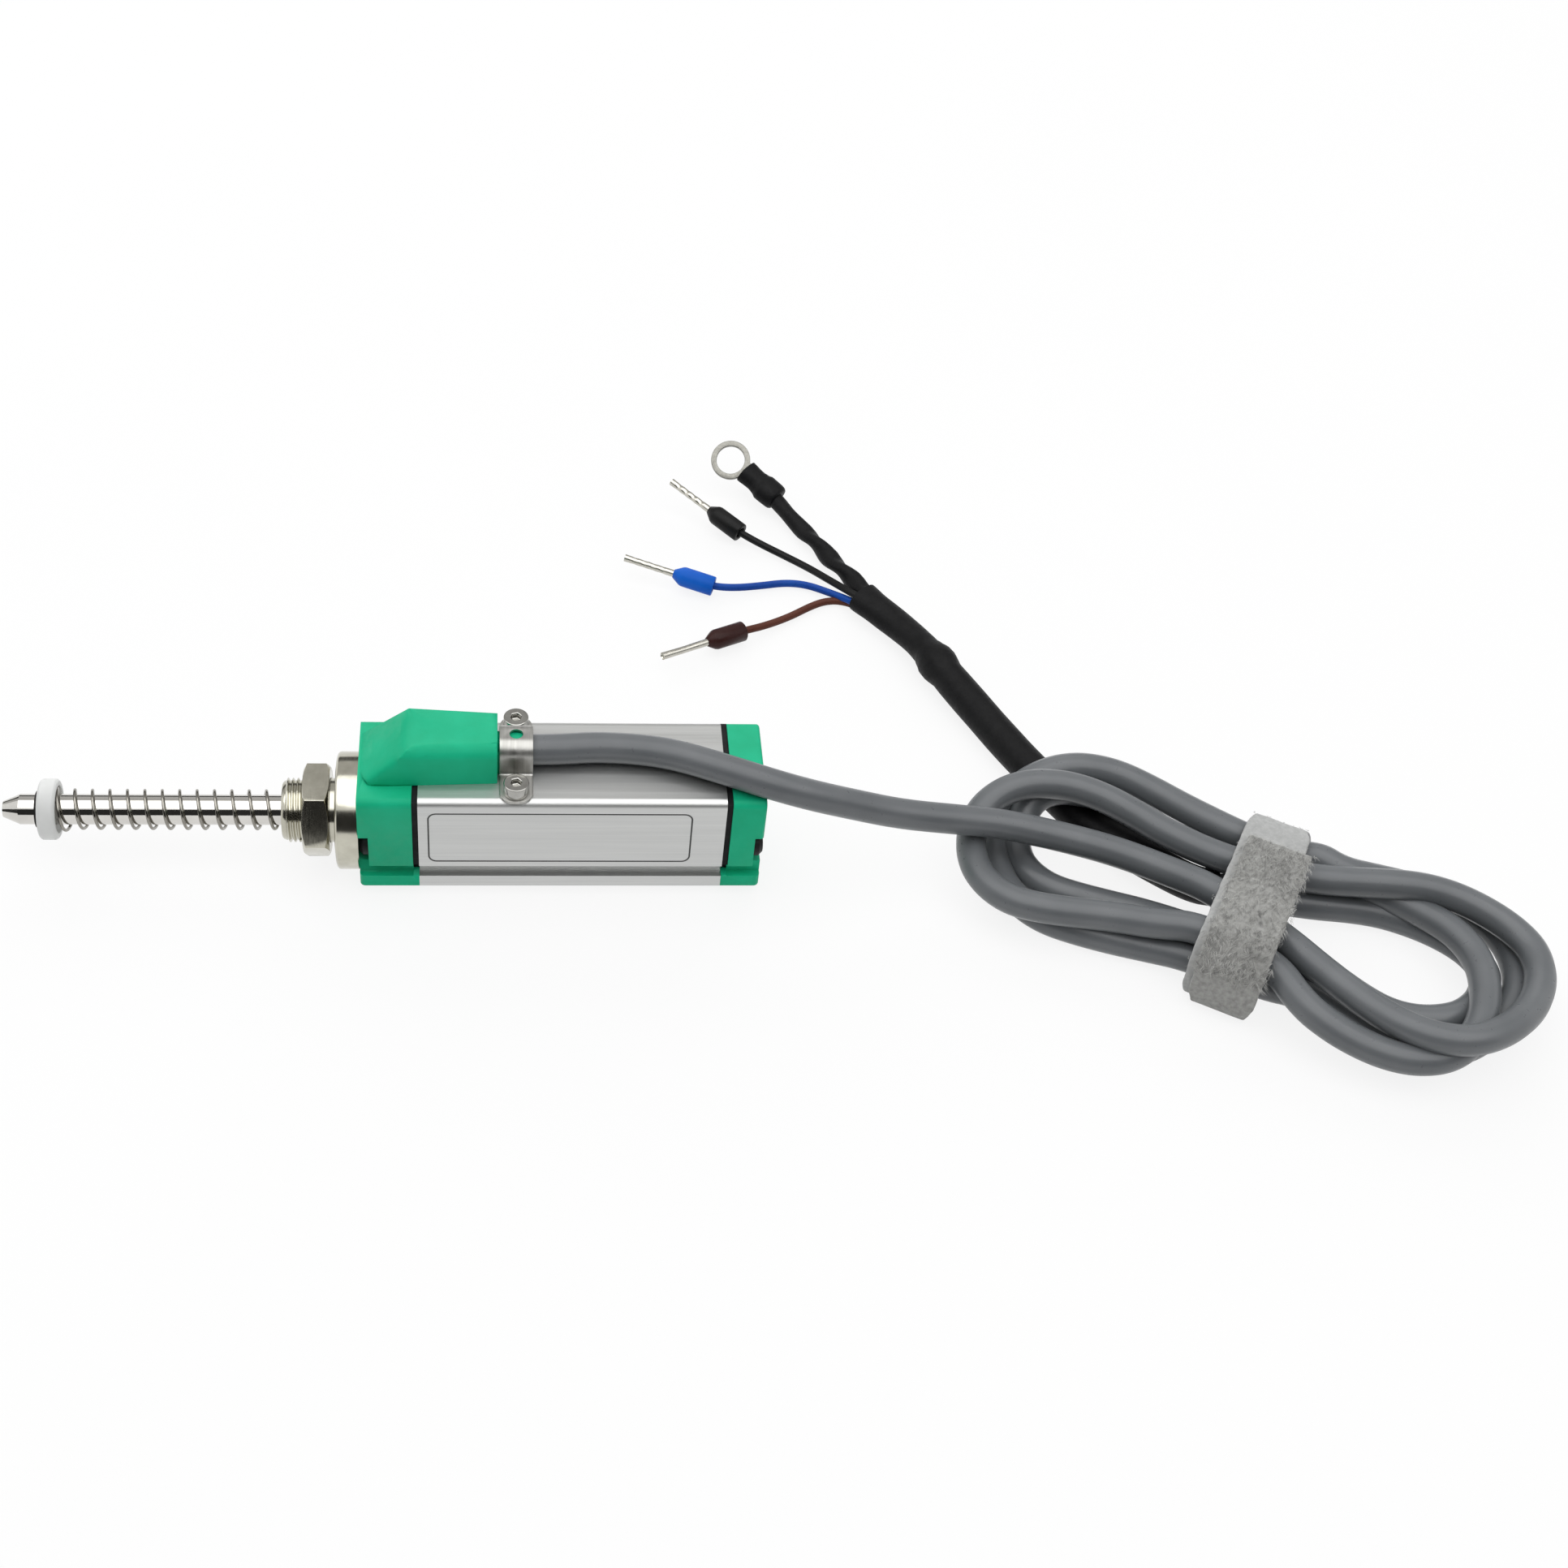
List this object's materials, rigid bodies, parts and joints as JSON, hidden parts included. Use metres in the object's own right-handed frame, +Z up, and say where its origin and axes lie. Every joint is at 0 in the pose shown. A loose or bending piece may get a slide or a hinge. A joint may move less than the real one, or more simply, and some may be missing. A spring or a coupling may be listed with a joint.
{
  "type": "self-resetting linear position sensor",
  "caption": "Spring-return linear potentiometer: a sprung rod in a threaded bushing, extruded body, moulded end caps and a tied cable with crimped leads.",
  "frame": {"origin": "on the rod's axis at the front face of the bushing's flange", "axes": "+X along the rod from its tip into the body, +Z up, away from the body's base"},
  "size_m": [0.2347, 0.146, 0.0262],
  "materials": {
    "anodised_aluminium": "satin anodised",
    "green_plastic": "fine moulded grain",
    "black_rubber": "matt",
    "black_steel": "black oxide",
    "nickel_plate": "bright nickel",
    "rod_steel": "ground",
    "spring_steel": "drawn wire",
    "bearing_bronze": "sintered",
    "white_plastic": "turned",
    "carriage_plastic": "moulded",
    "contact_alloy": "bright strip",
    "strip_board": "laminate",
    "track_ink": "conductive ink",
    "wire_plastic": "extruded",
    "stainless_strip": "rolled strip",
    "cable_jacket": "extruded",
    "strap_felt": "brushed loop felt",
    "shrink_sleeve": "shrunk tube",
    "black_insulation": "extruded",
    "blue_insulation": "extruded",
    "brown_insulation": "extruded",
    "tinned_copper": "tin plate"
  },
  "bodies": {
    "housing": {"profile_housing": "anodised_aluminium", "front_cap": "green_plastic", "rear_cap": "green_plastic", "front_gasket": "black_rubber", "rear_gasket": "black_rubber", "rod_seal": "black_rubber", "front_cap_screws": "black_steel", "rear_cap_screws": "black_steel", "threaded_bushing": "nickel_plate", "jam_nut": "nickel_plate", "return_spring": "spring_steel", "rod_bearing": "bearing_bronze", "resistance_strip": "strip_board", "resistor_tracks": "track_ink", "strip_wires": "wire_plastic", "cable_clip": "stainless_strip", "clip_screws": "stainless_strip", "cable_lead": "cable_jacket", "cable_hank": "cable_jacket", "hank_strap": "strap_felt", "cable_tail": "shrink_sleeve", "shield_lead": "shrink_sleeve", "terminal_sleeve": "shrink_sleeve", "black_lead": "black_insulation", "black_collar": "black_insulation", "blue_lead": "blue_insulation", "blue_collar": "blue_insulation", "brown_lead": "brown_insulation", "brown_collar": "brown_insulation", "ferrule_pins": "tinned_copper", "ring_terminal": "tinned_copper"},
    "plunger": {"plunger_rod": "rod_steel", "retaining_ring": "black_steel", "spring_collar": "white_plastic", "wiper_carriage": "carriage_plastic", "wiper_contacts": "contact_alloy", "carriage_screw": "rod_steel"}
  },
  "joints": [
    {"name": "plunger_slide", "type": "slide", "parent": "housing", "child": "plunger", "axis": [1, 0, 0], "range_m": [0, 0.015], "stiffness_N_per_m": 210, "springref_m": -0.01, "deforming": ["return_spring"]}
  ]
}
